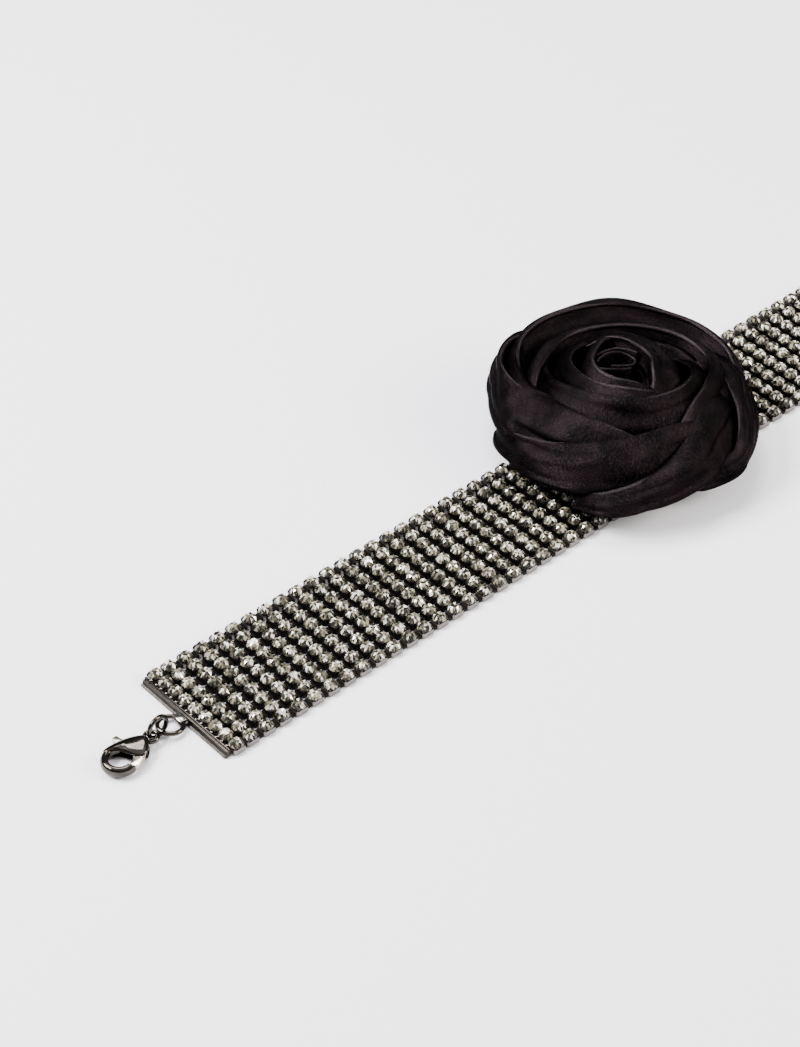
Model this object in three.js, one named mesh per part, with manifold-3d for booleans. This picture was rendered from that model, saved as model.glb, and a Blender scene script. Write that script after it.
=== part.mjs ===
import * as THREE from 'three';
import { mergeVertices } from 'three/addons/utils/BufferGeometryUtils.js';
import Module from 'manifold-3d';

// Choker necklace lying open and flat: nine rows of stones in square cups, a bar on each end,
// a rolled satin rose on top, a trigger clasp on one end and a plain closing ring on the other.
// Millimetres, +Z up. Origin: middle of the band's underside. +X runs along the band away from
// the clasp and +Y runs across it.

// Stone band
const rowCount = 9;
const columnCount = 88;
const rowPitch = 2.6;
const columnPitch = 3.4;
const endColumnShift = 0.65;
const cupWidth = 2.45;
const bandHeight = 2.0;
const grooveHeight = 0.75;
const tableWidth = 1.6;

// Clearance that separate pieces keep
const gap = 0.3;

// End bars, one on each end of the band
const barHeight = 1.5;
const barDepth = 0.9;
const barOverhang = 0.35;
const barRidge = 0.12;
const barInset = 0.65;
const tabWidth = 2.2;
const tabThickness = 0.3;
const tabSlack = 0.36;
const tabOverlap = 0.25;

// Rings and link, round wire
const wireDiameter = 0.65;
const wireClearance = 0.17;
const jumpRingDiameter = 5.0;
const linkDiameter = 4.6;
const linkWireDiameter = 0.6;
const jumpRingLift = 0.42;
const closingRingDiameter = 6.6;
const linkShift = 0.33;
const eyeSeat = 0.17;
const ringSides = 16;
const wireSides = 6;

// Trigger clasp; its own x runs from the eye to the nose
const claspYaw = 7.7;
const claspLength = 11.55;
const claspHeight = 2.6;
const hookThickness = 1.9;
const hookHoleDiameter = 3.9;
const hookWall = 1.2;
const hookShift = -0.1;
const eyeDiameter = 2.8;
const eyeHoleDiameter = 1.8;
const eyeThickness = 0.9;
const leverThickness = 1.1;
const leverClearance = 0.15;
const pinDiameter = 0.8;
const pinX = 2.55;
const pinY = 0.55;
const nubReach = 1.1;
const nubWidth = 0.85;

// Satin rose
const roseDiameter = 47;
const roseHeight = 18.4;
const roseX = -48.7;
const roseY = 1.2;
const clothWall = 1.6;
const rimWall = 0.9;
const backingDiameter = 34;
const backingThickness = 1.4;
const undercut = 4.5;
const coreDiameter = 7.6;
const coreTurns = 1.8;
const coreWall = 1.0;

// Folds of the rose. turn: degrees about the rose's middle, counter-clockwise from +X, at which
// the fold's edge has this row. radius: edge distance from the middle, as a share of half the
// rose's diameter. height: edge height as a share of the rose's height. reach: how far out the
// cloth below the edge bulges, as a share of half the diameter.
const foldTable = {
  columns: ['turn', 'radius', 'height', 'reach'],
  left: [
    [84, 0.86, 0.5, 0.94],
    [98, 1.0, 0.64, 1.03],
    [110, 1.03, 0.67, 1.05],
    [122, 1.0, 0.66, 1.01],
    [138, 0.84, 0.67, 0.94],
    [155, 0.66, 0.71, 0.86],
    [191, 0.59, 0.77, 0.8],
    [227, 0.65, 0.71, 0.77],
  ],
  front: [
    [150, 0.9, 0.2, 0.912],
    [165, 0.93, 0.38, 0.973],
    [184, 0.82, 0.56, 0.955],
    [199, 0.74, 0.63, 0.925],
    [223, 0.67, 0.7, 0.845],
    [247, 0.63, 0.74, 0.8],
    [270, 0.63, 0.74, 0.76],
  ],
  frontRight: [
    [202, 0.9, 0.18, 0.875],
    [216, 0.94, 0.32, 0.935],
    [229, 0.91, 0.42, 0.945],
    [241, 0.86, 0.51, 0.955],
    [257, 0.76, 0.62, 0.925],
    [275, 0.66, 0.71, 0.865],
    [298, 0.61, 0.75, 0.84],
  ],
  right: [
    [265, 0.8, 0.22, 0.85],
    [275, 0.87, 0.33, 0.9],
    [286, 0.92, 0.4, 0.955],
    [305, 0.84, 0.54, 0.955],
    [321, 0.77, 0.6, 0.955],
    [341, 0.72, 0.65, 0.95],
    [360, 0.69, 0.66, 0.86],
  ],
  back: [
    [-30, 0.86, 0.24, 0.93],
    [-12, 0.94, 0.55, 1.02],
    [9, 0.94, 0.65, 1.04],
    [28, 0.92, 0.7, 1.03],
    [50, 0.92, 0.75, 1.04],
    [70, 0.92, 0.76, 1.04],
    [88, 0.97, 0.71, 1.05],
    [102, 0.96, 0.66, 1.02],
    [115, 0.89, 0.64, 0.97],
    [130, 0.8, 0.66, 0.92],
    [145, 0.7, 0.69, 0.86],
    [158, 0.6, 0.72, 0.8],
  ],
  ring: [
    [264, 0.58, 0.77, 0.72],
    [283, 0.56, 0.79, 0.7],
    [306, 0.57, 0.79, 0.7],
    [336, 0.66, 0.75, 0.78],
    [366, 0.65, 0.77, 0.8],
    [397, 0.6, 0.8, 0.78],
    [430, 0.61, 0.8, 0.78],
    [455, 0.67, 0.76, 0.8],
    [479, 0.68, 0.71, 0.78],
  ],
  innerFront: [
    [124, 0.62, 0.7, 0.7],
    [141, 0.56, 0.75, 0.68],
    [155, 0.5, 0.81, 0.64],
    [182, 0.43, 0.88, 0.56],
    [213, 0.4, 0.91, 0.54],
    [238, 0.41, 0.9, 0.55],
    [280, 0.43, 0.89, 0.56],
    [308, 0.46, 0.87, 0.57],
  ],
  innerLeft: [
    [88, 0.5, 0.79, 0.6],
    [107, 0.48, 0.82, 0.58],
    [128, 0.44, 0.85, 0.54],
    [160, 0.36, 0.89, 0.46],
    [187, 0.32, 0.92, 0.42],
    [223, 0.31, 0.94, 0.41],
    [250, 0.33, 0.92, 0.42],
  ],
  lip: [
    [80, 0.33, 0.96, 0.42],
    [113, 0.28, 0.98, 0.39],
    [141, 0.28, 0.98, 0.38],
    [170, 0.27, 0.98, 0.37],
    [197, 0.26, 0.98, 0.36],
    [232, 0.25, 0.97, 0.35],
    [258, 0.28, 0.93, 0.36],
  ],
  cone: [
    [-100, 0.3, 0.92, 0.42],
    [-68, 0.18, 0.98, 0.42],
    [-32, 0.16, 0.98, 0.42],
    [22, 0.18, 0.98, 0.43],
    [54, 0.29, 0.95, 0.47],
    [72, 0.4, 0.9, 0.53],
  ],
};

// The coil in the central opening sits a little off the middle
const coreTurn = 130;
const coreShift = 1.7;
const coreHeightShare = 0.92;

const metal = { color: 0x4a4845, metalness: 0.9, roughness: 0.3 };
const bandColour = { color: 0x8c8578, metalness: 0.5, roughness: 0.25 };
const satin = { color: 0x191517, metalness: 0.0, roughness: 0.5 };

const half = 0.5;
const bandLength = (columnCount - 1) * columnPitch - 2 * endColumnShift + cupWidth;
const bandWidth = (rowCount - 1) * rowPitch + cupWidth;
const barWidth = bandWidth - 2 * barInset;
const wireRadius = wireDiameter * half;
const tabHoleRadius = wireRadius + wireClearance;
const tabOuterRadius = tabHoleRadius + tabThickness;
const roseRadius = roseDiameter * half;
const roseFloor = bandHeight + gap;
const claspMid = claspHeight * half;

const wasm = await Module();
wasm.setup();

// Closed triangle mesh to solid and back
function toSolid(geometry) {
  const plain = geometry.clone();
  plain.deleteAttribute('normal');
  plain.deleteAttribute('uv');
  const merged = mergeVertices(plain, 1e-5);
  return new wasm.Manifold(new wasm.Mesh({
    numProp: 3,
    vertProperties: new Float32Array(merged.attributes.position.array),
    triVerts: new Uint32Array(merged.index.array),
  }));
}

function toGeometry(solid) {
  const mesh = solid.getMesh();
  const geometry = new THREE.BufferGeometry();
  geometry.setAttribute('position', new THREE.BufferAttribute(new Float32Array(mesh.vertProperties), 3));
  geometry.setIndex(new THREE.BufferAttribute(new Uint32Array(mesh.triVerts), 1));
  geometry.computeVertexNormals();
  return geometry;
}

function joined(geometries) {
  return geometries.map(toSolid).reduce((whole, piece) => whole.add(piece));
}

function pieceOf(name, geometry, finish) {
  const mesh = new THREE.Mesh(geometry, new THREE.MeshStandardMaterial(finish));
  mesh.name = name;
  return mesh;
}

function indexedGeometry(points, faces) {
  const geometry = new THREE.BufferGeometry();
  geometry.setAttribute('position', new THREE.Float32BufferAttribute(points.flat(), 3));
  geometry.setIndex(faces.flat());
  geometry.computeVertexNormals();
  return geometry;
}

// Middles of the cups in one direction; the two end ones stand closer by this shift
function cupMiddles(count, pitch, shift) {
  const middles = Array.from({ length: count }, (_, i) => (i - (count - 1) * half) * pitch);
  middles[0] += shift;
  middles[count - 1] -= shift;
  return middles;
}

// Grid lines of the band: the outer cups' edges and the grooves between cups
function gridLines(middles) {
  const last = middles.length - 1;
  const grooves = middles.slice(1).map((middle, i) => (middle + middles[i]) * half);
  return [middles[0] - cupWidth * half, ...grooves, middles[last] + cupWidth * half];
}

// The band: each cup with its stone is a four-sided stud between crossing grooves
function makeBand() {
  const columns = cupMiddles(columnCount, columnPitch, endColumnShift);
  const rows = cupMiddles(rowCount, rowPitch, 0);
  const xs = gridLines(columns);
  const ys = gridLines(rows);
  const points = [];
  const faces = [];
  const grooveIndex = (i, j) => i * ys.length + j;
  for (const x of xs) for (const y of ys) points.push([x, y, grooveHeight]);

  const reach = tableWidth * half;
  const quad = (a, b, c, d) => faces.push([a, b, c], [a, c, d]);
  for (let i = 0; i < columnCount; i += 1) {
    for (let j = 0; j < rowCount; j += 1) {
      const x = columns[i];
      const y = rows[j];
      const top = points.length;
      points.push([x - reach, y - reach, bandHeight], [x + reach, y - reach, bandHeight],
        [x + reach, y + reach, bandHeight], [x - reach, y + reach, bandHeight]);
      const foot = [grooveIndex(i, j), grooveIndex(i + 1, j), grooveIndex(i + 1, j + 1), grooveIndex(i, j + 1)];
      quad(top, top + 1, top + 2, top + 3);
      for (let k = 0; k < 4; k += 1) {
        const next = (k + 1) % 4;
        quad(foot[k], foot[next], top + next, top + k);
      }
    }
  }

  // Side walls down to the underside, then the underside itself
  const rim = [];
  for (let i = 0; i < columnCount; i += 1) rim.push([i, 0]);
  for (let j = 0; j < rowCount; j += 1) rim.push([columnCount, j]);
  for (let i = columnCount; i > 0; i -= 1) rim.push([i, rowCount]);
  for (let j = rowCount; j > 0; j -= 1) rim.push([0, j]);
  const under = points.length;
  for (const [i, j] of rim) points.push([xs[i], ys[j], 0]);
  rim.forEach(([i, j], k) => {
    const next = (k + 1) % rim.length;
    quad(under + k, under + next, grooveIndex(...rim[next]), grooveIndex(i, j));
  });
  const near = (i) => under + i;
  const far = (i) => under + 2 * columnCount + rowCount - i;
  for (let i = 1; i < columnCount - 1; i += 1) quad(near(i), far(i), far(i + 1), near(i + 1));
  for (let j = 0; j < rowCount; j += 1) faces.push([near(columnCount - 1), under + columnCount + j + 1, under + columnCount + j]);
  faces.push([near(columnCount - 1), far(columnCount - 1), far(columnCount)]);
  const startSide = under + 2 * columnCount + rowCount;
  for (let j = 0; j < rowCount; j += 1) {
    const lower = j === rowCount - 1 ? under : startSide + j + 1;
    faces.push([near(1), lower, startSide + j]);
  }
  faces.push([near(1), startSide, far(1)]);
  return indexedGeometry(points, faces);
}

// A profile in the X-Z plane carried along Y, centred on Y = 0
function alongY(shape, width, curveSegments = 6) {
  const geometry = new THREE.ExtrudeGeometry(shape, { depth: width, bevelEnabled: false, steps: 1, curveSegments });
  geometry.rotateX(Math.PI * half);
  geometry.translate(0, width * half, 0);
  return geometry;
}

// End bar: a folded channel with two ridges along it, and a tab rolled round the ring's wire.
// Its own x runs away from the band, from its inner face.
function makeEndBar(holeRadius) {
  const profile = new THREE.Shape();
  const ridgeStep = barDepth / 3;
  profile.moveTo(0, 0);
  profile.lineTo(barDepth + barOverhang, 0);
  profile.lineTo(barDepth + barOverhang, tabThickness);
  profile.lineTo(barDepth, tabThickness + barRidge);
  profile.lineTo(barDepth, barHeight - 3 * barRidge);
  profile.lineTo(barDepth - ridgeStep * half, barHeight - 2 * barRidge);
  profile.lineTo(barDepth - ridgeStep, barHeight - 3 * barRidge);
  profile.lineTo(barDepth - ridgeStep, barHeight - barRidge);
  profile.lineTo(ridgeStep * half, barHeight);
  profile.lineTo(0, barHeight - barRidge);
  profile.closePath();

  const outer = holeRadius + tabThickness;
  const loopX = barDepth + outer - tabOverlap;
  const loop = new THREE.Shape();
  loop.absarc(loopX, outer, outer, Math.PI * half, Math.PI * 1.5, false);
  loop.absarc(loopX + tabSlack, outer, outer, -Math.PI * half, Math.PI * half, false);
  const hole = new THREE.Path();
  hole.absarc(loopX, outer, holeRadius, Math.PI * half, Math.PI * 1.5, false);
  hole.absarc(loopX + tabSlack, outer, holeRadius, -Math.PI * half, Math.PI * half, false);
  loop.holes.push(hole);
  const holeCut = new THREE.Shape(hole.getPoints());
  const bar = toSolid(alongY(profile, barWidth));
  const cut = toSolid(alongY(holeCut, tabWidth));
  return toGeometry(bar.subtract(cut).add(toSolid(alongY(loop, tabWidth))));
}

function tabWireX(holeRadius) {
  return barDepth + holeRadius + tabThickness - tabOverlap;
}

function makeRing(outerDiameter, wire) {
  return new THREE.TorusGeometry((outerDiameter - wire) * half, wire * half, wireSides, ringSides);
}

// Clasp outline helpers: the hook's hole centre in the clasp's own frame
const hookRadius = hookHoleDiameter * half;
const hookOuter = hookRadius + hookWall;
const hookX = claspLength - eyeDiameter * half - hookOuter;
const degrees = Math.PI / 180;
const throatTurn = 156;
const tipTurn = 94;
const tipOuterTurn = 92;
const backTurn = -106;
const neckStart = 0.9;
const neckHalf = 0.6;
const shoulderX = 1.9;
const shoulderY = 1.45;
const cheekEndX = 3.25;
const cheekEndY = 1.5;
const backBulge = 2.95;

function hookPoint(turn, radius) {
  return [hookX + radius * Math.cos(turn * degrees), hookShift + radius * Math.sin(turn * degrees)];
}

function plate(shape, thickness, edge, curveSegments) {
  const geometry = new THREE.ExtrudeGeometry(shape, {
    depth: thickness - 2 * edge,
    steps: 1,
    bevelEnabled: edge > 0,
    bevelThickness: edge,
    bevelSize: edge,
    bevelOffset: -edge,
    bevelSegments: 1,
    curveSegments,
  });
  geometry.translate(0, 0, claspMid - thickness * half + edge);
  return geometry;
}

// Body and hook in one, with the eye, a bulged back, and a slot in which the lever turns
function makeClaspBody() {
  const outline = new THREE.Shape();
  outline.moveTo(neckStart, neckHalf);
  outline.quadraticCurveTo(shoulderX * half, shoulderY, shoulderX + neckHalf, shoulderY);
  outline.lineTo(cheekEndX, cheekEndY);
  outline.lineTo(...hookPoint(throatTurn, hookRadius));
  outline.absarc(hookX, hookShift, hookRadius, throatTurn * degrees, (360 + tipTurn) * degrees, false);
  outline.lineTo(...hookPoint(tipOuterTurn, hookOuter));
  outline.absarc(hookX, hookShift, hookOuter, tipOuterTurn * degrees, backTurn * degrees, true);
  outline.quadraticCurveTo(cheekEndX, -backBulge - neckHalf, shoulderX, -shoulderY);
  outline.lineTo(neckStart, -neckHalf);
  outline.closePath();

  const bulge = new THREE.SphereGeometry(claspHeight * half, 12, 8);
  bulge.scale(1.95, 1.3, 1);
  bulge.rotateZ(-12 * degrees);
  bulge.translate(shoulderX + backBulge * half, -1.1, claspMid);

  const eyeRing = new THREE.Shape();
  eyeRing.absarc(0, 0, eyeDiameter * half, 0, 2 * Math.PI, false);
  const eyeHole = new THREE.CylinderGeometry(eyeHoleDiameter * half, eyeHoleDiameter * half, claspHeight, 14);
  eyeHole.rotateX(Math.PI * half);
  eyeHole.translate(0, 0, claspMid);

  const slotHeight = leverThickness + 2 * leverClearance;
  const slotStart = pinX - pinDiameter * half - leverEar - leverClearance;
  const slotEnd = hookPoint(throatTurn, hookRadius)[0] + leverClearance;
  const slot = new THREE.BoxGeometry(slotEnd - slotStart, 2 * claspLength, slotHeight);
  slot.translate((slotStart + slotEnd) * half, 0, claspMid);
  const hookHole = new THREE.CylinderGeometry(hookRadius, hookRadius, 2 * claspHeight, 20);
  hookHole.rotateX(Math.PI * half);
  hookHole.translate(hookX, hookShift, claspMid);
  const pin = new THREE.CylinderGeometry(pinDiameter * half, pinDiameter * half, hookThickness - leverClearance, 10);
  pin.rotateX(Math.PI * half);
  pin.translate(pinX, pinY, claspMid);

  return toGeometry(toSolid(plate(outline, hookThickness, 0.35, 8))
    .add(toSolid(bulge))
    .subtract(toSolid(hookHole))
    .add(toSolid(plate(eyeRing, eyeThickness, 0, 8)))
    .subtract(toSolid(eyeHole))
    .subtract(toSolid(slot))
    .add(toSolid(pin)));
}

// Lever: the gate closes the hook's mouth, an ear turns on the pin, and an arm through the slot
// ends in the thumb nub on the far side
const leverEar = 0.5;
function nubX() {
  return pinX + 2.0;
}

function makeLever() {
  const earRadius = pinDiameter * half + leverEar;
  const gate = new THREE.Shape();
  const tipOuter = hookPoint(tipTurn, hookOuter - 0.1);
  const throat = hookPoint(throatTurn - 8, hookRadius);
  gate.moveTo(pinX, pinY - earRadius * half);
  gate.lineTo(...throat);
  gate.absarc(hookX, hookShift, hookRadius, (throatTurn - 8) * degrees, tipTurn * degrees, true);
  gate.lineTo(...tipOuter);
  gate.lineTo((pinX + hookX) * half, tipOuter[1] - 0.35);
  gate.lineTo(pinX + earRadius * half, pinY + earRadius);
  gate.closePath();

  const ear = new THREE.Shape();
  ear.absarc(pinX, pinY, earRadius, 0, 2 * Math.PI, false);
  const arm = new THREE.Shape();
  const nubEnd = hookShift - hookOuter - nubReach * half;
  const halfArm = nubWidth * half;
  arm.moveTo(pinX - halfArm, pinY);
  arm.lineTo(nubX() - halfArm, nubEnd);
  arm.lineTo(nubX() + halfArm, nubEnd);
  arm.lineTo(pinX + halfArm, pinY);
  arm.closePath();
  const pinHole = new THREE.CylinderGeometry(
    pinDiameter * half + leverClearance, pinDiameter * half + leverClearance, claspHeight, 10);
  pinHole.rotateX(Math.PI * half);
  pinHole.translate(pinX, pinY, claspMid);
  const mouth = hookPoint(tipTurn, hookRadius);
  const swing = Math.hypot(mouth[0] - pinX, mouth[1] - pinY) - leverClearance;
  const swingRound = new THREE.CylinderGeometry(swing, swing, claspHeight, 48);
  swingRound.rotateX(Math.PI * half);
  swingRound.translate(pinX, pinY, claspMid);
  const gateSolid = toSolid(plate(gate, leverThickness, 0, 6)).intersect(toSolid(swingRound));
  return toGeometry(joined([plate(ear, leverThickness, 0, 6), plate(arm, leverThickness, 0, 1)])
    .add(gateSolid)
    .subtract(toSolid(pinHole)));
}

// One wall of cloth. Each station has a run of points from the edge down to the foot, moved half
// the wall's thickness to each side; neighbouring stations are joined and both ends are capped.
function wallSolid(stations) {
  const points = [];
  const faces = [];
  const depth = stations[0].left.length;
  const quad = (a, b, c, d) => faces.push([a, b, c], [a, c, d]);
  for (const { left, right } of stations) points.push(...left, ...right);
  const at = (station, side, row) => (station * 2 + side) * depth + row;
  const last = stations.length - 1;
  for (let s = 0; s < last; s += 1) {
    for (let row = 0; row < depth - 1; row += 1) {
      quad(at(s, 0, row), at(s + 1, 0, row), at(s + 1, 0, row + 1), at(s, 0, row + 1));
      quad(at(s, 1, row), at(s, 1, row + 1), at(s + 1, 1, row + 1), at(s + 1, 1, row));
    }
    quad(at(s, 0, 0), at(s, 1, 0), at(s + 1, 1, 0), at(s + 1, 0, 0));
    quad(at(s, 0, depth - 1), at(s + 1, 0, depth - 1), at(s + 1, 1, depth - 1), at(s, 1, depth - 1));
  }
  for (let row = 0; row < depth - 1; row += 1) {
    quad(at(0, 0, row), at(0, 0, row + 1), at(0, 1, row + 1), at(0, 1, row));
    quad(at(last, 0, row), at(last, 1, row), at(last, 1, row + 1), at(last, 0, row + 1));
  }
  const solid = toSolid(indexedGeometry(points, faces));
  return solid.volume() > 0 ? solid : toSolid(indexedGeometry(points, faces.map(([a, b, c]) => [a, c, b])));
}

// Distance from a point along a direction to the circle of this radius round the middle
function distanceToCircle(x, y, nx, ny, radius) {
  const along = x * nx + y * ny;
  return -along + Math.sqrt(Math.max(0, along * along + radius * radius - x * x - y * y));
}

// How a wall falls from its edge (0) towards its foot (1): outward travel and drop
const fallTable = {
  columns: ['out', 'drop'],
  rows: [[0.0, 0.0], [0.45, 0.1], [0.82, 0.3], [1.0, 0.58]],
};

function makeFold(rows, stepsPerRow) {
  const knots = rows.map(([turn, radius, height, reach]) => ({
    x: radius * roseRadius * Math.cos(turn * degrees),
    y: radius * roseRadius * Math.sin(turn * degrees),
    z: roseFloor + height * roseHeight,
    reach: reach * roseRadius,
  }));
  const path = new THREE.CatmullRomCurve3(knots.map(({ x, y, z }) => new THREE.Vector3(x, y, z)), false, 'centripetal');
  const count = (rows.length - 1) * stepsPerRow;
  const stations = [];
  for (let s = 0; s <= count; s += 1) {
    const t = s / count;
    const edge = path.getPoint(t);
    const tangent = path.getTangent(t);
    const flat = Math.hypot(tangent.x, tangent.y);
    const nx = tangent.y / flat;
    const ny = -tangent.x / flat;
    const spot = Math.min(Math.floor(t * (knots.length - 1)), knots.length - 2);
    const blend = t * (knots.length - 1) - spot;
    const reach = THREE.MathUtils.lerp(knots[spot].reach, knots[spot + 1].reach, blend);
    const out = Math.max(clothWall, distanceToCircle(edge.x, edge.y, nx, ny, reach));
    const drop = edge.z - roseFloor;
    const line = fallTable.rows.map(([o, d]) => [o * out, edge.z - d * drop]);
    const footRadius = backingDiameter * half - clothWall;
    const foot = Math.min(out - undercut * half, distanceToCircle(edge.x, edge.y, nx, ny, footRadius));
    line.push([Math.max(foot, -undercut), roseFloor + backingThickness * half]);
    const left = [];
    const right = [];
    line.forEach(([o, z], k) => {
      const before = line[Math.max(k - 1, 0)];
      const after = line[Math.min(k + 1, line.length - 1)];
      const run = Math.hypot(after[0] - before[0], after[1] - before[1]);
      const wall = (k === 0 ? rimWall : clothWall) * half;
      const so = -(after[1] - before[1]) / run * wall;
      const sz = (after[0] - before[0]) / run * wall;
      left.push([edge.x + nx * (o + so), edge.y + ny * (o + so), z + sz]);
      right.push([edge.x + nx * (o - so), edge.y + ny * (o - so), Math.max(z - sz, roseFloor)]);
    });
    stations.push({ left, right });
  }
  return wallSolid(stations);
}

// Upright wall along a plan curve, from the backing to this height
function makeUprightWall(planPoints, wall, topHeight) {
  const stations = planPoints.map(([x, y], s) => {
    const before = planPoints[Math.max(s - 1, 0)];
    const after = planPoints[Math.min(s + 1, planPoints.length - 1)];
    const run = Math.hypot(after[0] - before[0], after[1] - before[1]);
    const sx = (after[1] - before[1]) / run * wall * half;
    const sy = -(after[0] - before[0]) / run * wall * half;
    const low = roseFloor + backingThickness * half;
    return {
      left: [[x + sx, y + sy, topHeight], [x + sx, y + sy, low]],
      right: [[x - sx, y - sy, topHeight], [x - sx, y - sy, low]],
    };
  });
  return wallSolid(stations);
}

function makeRose() {
  const backing = new THREE.CylinderGeometry(
    backingDiameter * half, backingDiameter * half, backingThickness, 32);
  backing.rotateX(Math.PI * half);
  backing.translate(0, 0, roseFloor + backingThickness * half);
  let rose = toSolid(backing);
  for (const [name, rows] of Object.entries(foldTable)) {
    if (name !== 'columns') rose = rose.add(makeFold(rows, 2));
  }

  const middleX = coreShift * Math.cos(coreTurn * degrees);
  const middleY = coreShift * Math.sin(coreTurn * degrees);
  const coil = [];
  const coilSteps = 26;
  for (let i = 0; i <= coilSteps; i += 1) {
    const share = i / coilSteps;
    const turn = share * coreTurns * 2 * Math.PI;
    const radius = coreWall + share * (coreDiameter * half - coreWall);
    coil.push([middleX + radius * Math.cos(turn), middleY + radius * Math.sin(turn)]);
  }
  rose = rose.add(makeUprightWall(coil, coreWall, roseFloor + coreHeightShare * roseHeight));

  // Folds that lean together can close off a pocket between them, which is filled
  const outside = rose.decompose().filter((shell) => shell.volume() > 0);
  return toGeometry(outside.reduce((whole, shell) => whole.add(shell)));
}

const group = new THREE.Group();
group.add(pieceOf('band', makeBand(), bandColour));

const bandEnd = bandLength * half;
const nearBar = pieceOf('end_bar_clasp', makeEndBar(tabHoleRadius), metal);
nearBar.position.set(-bandEnd - gap, 0, 0);
nearBar.rotation.z = Math.PI;
group.add(nearBar);
const farBar = pieceOf('end_bar_plain', makeEndBar(tabHoleRadius), metal);
farBar.position.set(bandEnd + gap, 0, 0);
group.add(farBar);

// Jump ring through the clasp end's tab, lifted where the link hangs in it
const tabWire = bandEnd + gap + tabWireX(tabHoleRadius) + wireClearance * 0.1;
const jumpRadius = (jumpRingDiameter - wireDiameter) * half;
const jumpRing = pieceOf('jump_ring', makeRing(jumpRingDiameter, wireDiameter), metal);
jumpRing.position.set(-tabWire - jumpRadius, 0, tabOuterRadius + jumpRingLift * half);
jumpRing.rotation.y = Math.asin(jumpRingLift / (2 * jumpRadius));
group.add(jumpRing);

const closingRadius = (closingRingDiameter - wireDiameter) * half;
const closingRing = pieceOf('closing_ring', makeRing(closingRingDiameter, wireDiameter), metal);
closingRing.position.set(tabWire + closingRadius, 0, tabOuterRadius);
group.add(closingRing);

// Link and clasp in one line, turned a little about the jump ring's outer wire
const claspLine = new THREE.Group();
claspLine.position.set(-tabWire - 2 * jumpRadius, 0, 0);
claspLine.rotation.z = Math.PI + claspYaw * degrees;
const linkRadius = (linkDiameter - linkWireDiameter) * half;
const link = pieceOf('link_ring', makeRing(linkDiameter, linkWireDiameter), metal);
link.rotation.x = Math.PI * half;
link.position.set(linkShift, 0, linkDiameter * half);
claspLine.add(link);
const linkDrop = linkDiameter * half - claspMid;
const eyeX = linkShift + Math.sqrt(linkRadius * linkRadius - linkDrop * linkDrop) - eyeSeat;
const clasp = new THREE.Group();
clasp.position.set(eyeX, 0, 0);
clasp.add(pieceOf('clasp_body', makeClaspBody(), metal));
clasp.add(pieceOf('clasp_lever', makeLever(), metal));
claspLine.add(clasp);
group.add(claspLine);

const rose = pieceOf('rose', makeRose(), satin);
rose.position.set(roseX, roseY, 0);
group.add(rose);

export default group;
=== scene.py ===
import math

import bmesh
import bpy
import numpy as np
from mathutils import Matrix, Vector


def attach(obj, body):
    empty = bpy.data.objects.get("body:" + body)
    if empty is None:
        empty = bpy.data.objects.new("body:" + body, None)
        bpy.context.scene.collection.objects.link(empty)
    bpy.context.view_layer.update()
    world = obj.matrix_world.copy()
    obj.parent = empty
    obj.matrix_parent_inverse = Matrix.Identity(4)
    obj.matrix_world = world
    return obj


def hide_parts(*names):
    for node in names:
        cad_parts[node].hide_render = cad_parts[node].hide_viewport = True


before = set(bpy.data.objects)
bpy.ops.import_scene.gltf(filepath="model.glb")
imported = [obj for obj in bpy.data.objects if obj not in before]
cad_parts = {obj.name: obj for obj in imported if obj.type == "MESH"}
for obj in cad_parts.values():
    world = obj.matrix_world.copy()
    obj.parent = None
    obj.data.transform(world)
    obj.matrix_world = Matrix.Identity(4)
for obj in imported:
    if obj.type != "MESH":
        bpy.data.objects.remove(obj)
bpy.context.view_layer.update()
mm = 0.001


# Camera, lens and place fitted to the photo's angle
camera = {
    "lookAt": (-93.49, 11.06, 2.0),      # mm, the point in the middle of the picture
    "towards": (-0.4940, -0.5582, 0.6666),
    "distance": 483.16,                 # mm
    "lens": 96.28,
}
cameraData = bpy.data.cameras.new("camera")
cameraData.lens = camera["lens"]
cameraData.clip_start = 0.01
cameraObject = bpy.data.objects.new("camera", cameraData)
bpy.context.scene.collection.objects.link(cameraObject)
back = Vector(camera["towards"]).normalized()
cameraObject.location = (Vector(camera["lookAt"]) + back * camera["distance"]) * mm
cameraObject.rotation_euler = (-back).to_track_quat("-Z", "Y").to_euler()
bpy.context.scene.camera = cameraObject
print("camera set")


# Mesh helpers

def gridFaces(rows, columns, closeRows=False, closeColumns=False):
    # quads between neighbouring points of a rows x columns grid, wrapped round where asked
    r = np.arange(rows if closeRows else rows - 1)[:, None]
    c = np.arange(columns if closeColumns else columns - 1)[None, :]
    nextR, nextC = (r + 1) % rows, (c + 1) % columns
    return np.stack([r * columns + c, nextR * columns + c,
                     nextR * columns + nextC, r * columns + nextC], axis=-1).reshape(-1, 4)


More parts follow.
